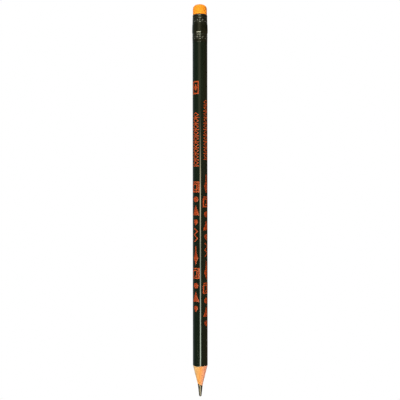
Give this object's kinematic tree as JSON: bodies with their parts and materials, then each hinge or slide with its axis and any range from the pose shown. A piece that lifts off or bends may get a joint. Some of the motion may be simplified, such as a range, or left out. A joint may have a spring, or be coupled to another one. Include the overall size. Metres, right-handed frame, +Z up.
{
  "type": "graphite pencil",
  "caption": "Round wood-cased graphite pencil, sharpened, dark green lacquer with orange-red printed motifs, black crimped ferrule and yellow-orange eraser.",
  "frame": {"origin": "the writing point, at the bottom centre of the upright pencil", "axes": "+Z runs up the pencil's axis from the point to the eraser; the side seen in the reference view faces -Y"},
  "size_m": [0.0076, 0.0076, 0.19],
  "materials": {
    "graphite": "satin",
    "casing_wood": "matte",
    "wood_glue": "matte",
    "primer": "matte",
    "lacquer": "gloss",
    "ferrule_metal": "gloss",
    "eraser_rubber": "matte",
    "print_ink": "satin"
  },
  "bodies": {
    "root": {"graphite_core": "graphite", "casing_half_left": "casing_wood", "casing_half_right": "casing_wood", "core_glue": "wood_glue", "seam_glue": "wood_glue", "primer_coat": "primer", "lacquer_coat": "lacquer", "ferrule": "ferrule_metal", "eraser": "eraser_rubber", "print_panel": "print_ink", "print_chains": "print_ink", "print_spirals": "print_ink", "print_dots": "print_ink", "print_triangles": "print_ink", "print_drops": "print_ink", "print_zigzags": "print_ink", "print_spears": "print_ink"}
  },
  "joints": []
}
